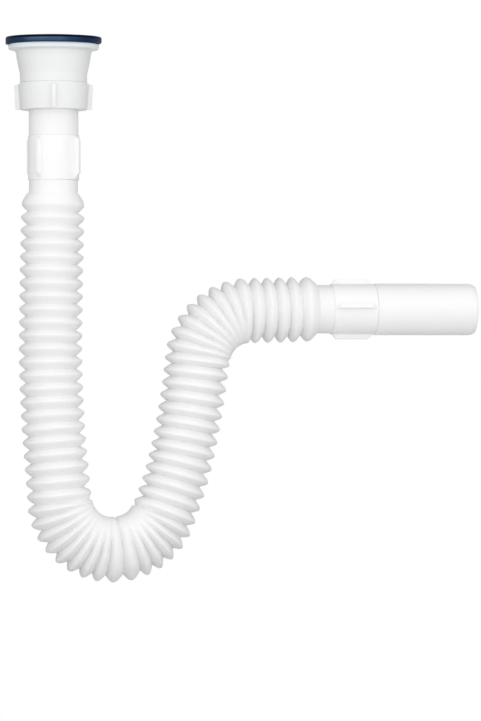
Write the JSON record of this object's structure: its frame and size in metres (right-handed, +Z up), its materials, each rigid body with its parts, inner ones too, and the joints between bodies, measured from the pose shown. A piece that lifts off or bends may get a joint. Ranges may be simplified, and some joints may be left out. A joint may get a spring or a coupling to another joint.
{
  "type": "flexible sink trap",
  "caption": "Flexible corrugated sink trap with a flared cup, blue gasket, union nut, ribbed glue collars, an S-bent hose that holds a water seal, and a straight outlet pipe.",
  "frame": {"origin": "centre of the gasket's top face, where the trap meets the underside of the sink", "axes": "+Z up through the sink's waste hole, +X from the inlet towards the outlet, and the hose lies in the XZ plane"},
  "size_m": [0.3039, 0.061, 0.3461],
  "materials": {
    "gasket_rubber": "satin navy blue rubber",
    "washer_rubber": "matt dark grey rubber",
    "cup_plastic": "smooth natural white polypropylene",
    "pipe_plastic": "smooth natural white polypropylene",
    "collar_plastic": "smooth bright white plastic",
    "hose_plastic": "satin natural white plastic, blow moulded",
    "insert_brass": "turned brass"
  },
  "bodies": {
    "cup": {"sink_gasket": "gasket_rubber", "inlet_cup": "cup_plastic", "screw_insert": "insert_brass"},
    "washer": {"flange_washer": "washer_rubber"},
    "nut": {"coupling_nut": "cup_plastic"},
    "hose": {"inlet_tail": "pipe_plastic", "inlet_collar": "collar_plastic", "corrugated_hose": "hose_plastic", "outlet_collar": "collar_plastic", "outlet_pipe": "pipe_plastic"}
  },
  "joints": [
    {"name": "union_travel", "type": "slide", "parent": "cup", "child": "washer", "axis": [0, 0, -1], "range_m": [0, 0.00924]},
    {"name": "nut_turn", "type": "hinge", "parent": "washer", "child": "nut", "pos_m": [0, 0, -0.0377], "axis": [0, 0, -1], "range_deg": [0, 1441]},
    {"name": "swivel", "type": "hinge", "parent": "washer", "child": "hose", "pos_m": [0, 0, -0.0425], "axis": [0, 0, 1], "continuous": true}
  ],
  "couplings": [
    {"joint": "nut_turn", "follows": "union_travel", "rad_per_m": 2721.2}
  ]
}
